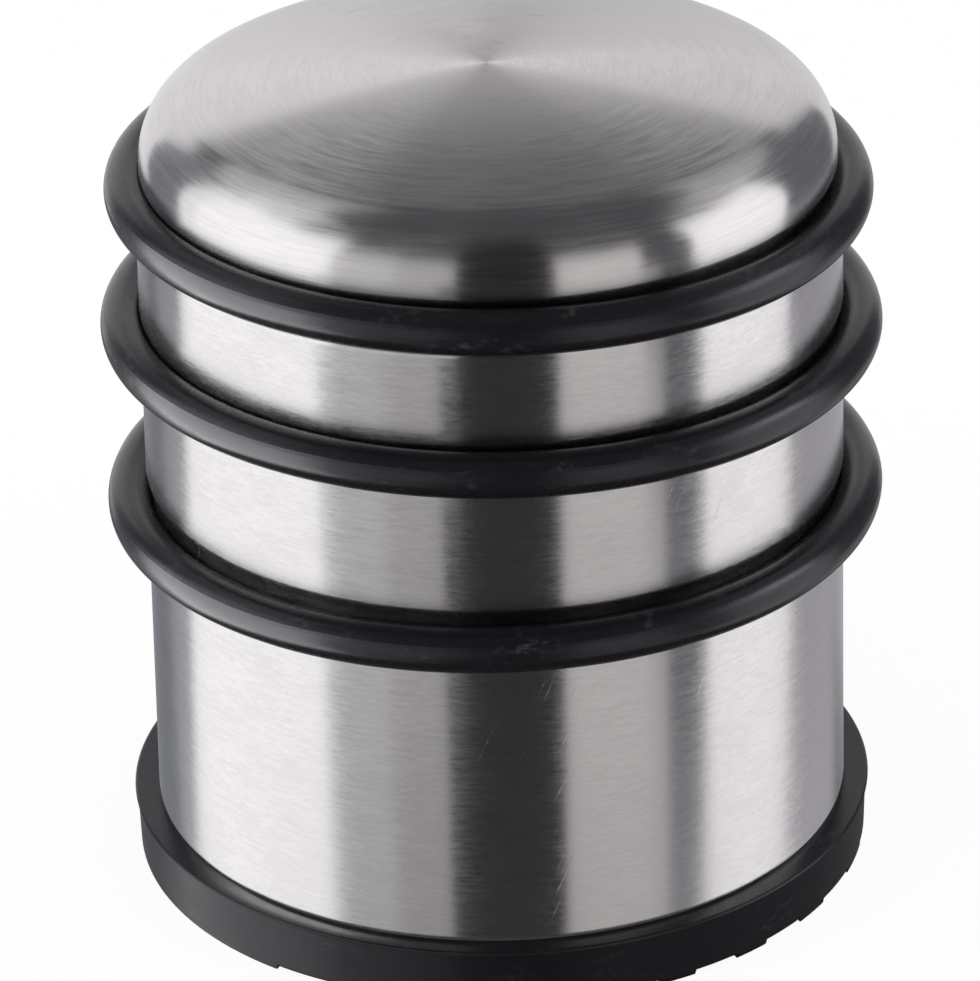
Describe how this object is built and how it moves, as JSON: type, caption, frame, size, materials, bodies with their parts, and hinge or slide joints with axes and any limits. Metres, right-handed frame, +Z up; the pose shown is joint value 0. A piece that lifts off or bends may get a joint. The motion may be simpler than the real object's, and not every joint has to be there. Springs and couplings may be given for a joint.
{
  "type": "floor door stop",
  "caption": "Heavy domed cylinder that stands on the floor to hold a door: steel casing with rubber bumper rings and a ribbed rubber foot.",
  "frame": {"origin": "on the floor, under the middle of the foot", "axes": "+Z up along the casing's axis; -Y towards the picture's viewer, +X to the viewer's right"},
  "size_m": [0.0796, 0.0796, 0.0864],
  "materials": {
    "casing_steel": "brushed round the axis",
    "ring_rubber": "smooth, semi-matt",
    "foot_rubber": "matt, moulded",
    "weight_iron": "as cast",
    "plate_steel": "zinc plated",
    "packing_fibre": "pressed fibre",
    "fixings_steel": "zinc plated"
  },
  "bodies": {
    "root": {"casing": "casing_steel", "ring_top": "ring_rubber", "ring_middle": "ring_rubber", "ring_bottom": "ring_rubber", "packing_disc": "packing_fibre", "weight": "weight_iron", "closing_plate": "plate_steel", "foot": "foot_rubber", "foot_washer": "fixings_steel", "foot_screw": "fixings_steel"}
  },
  "joints": []
}
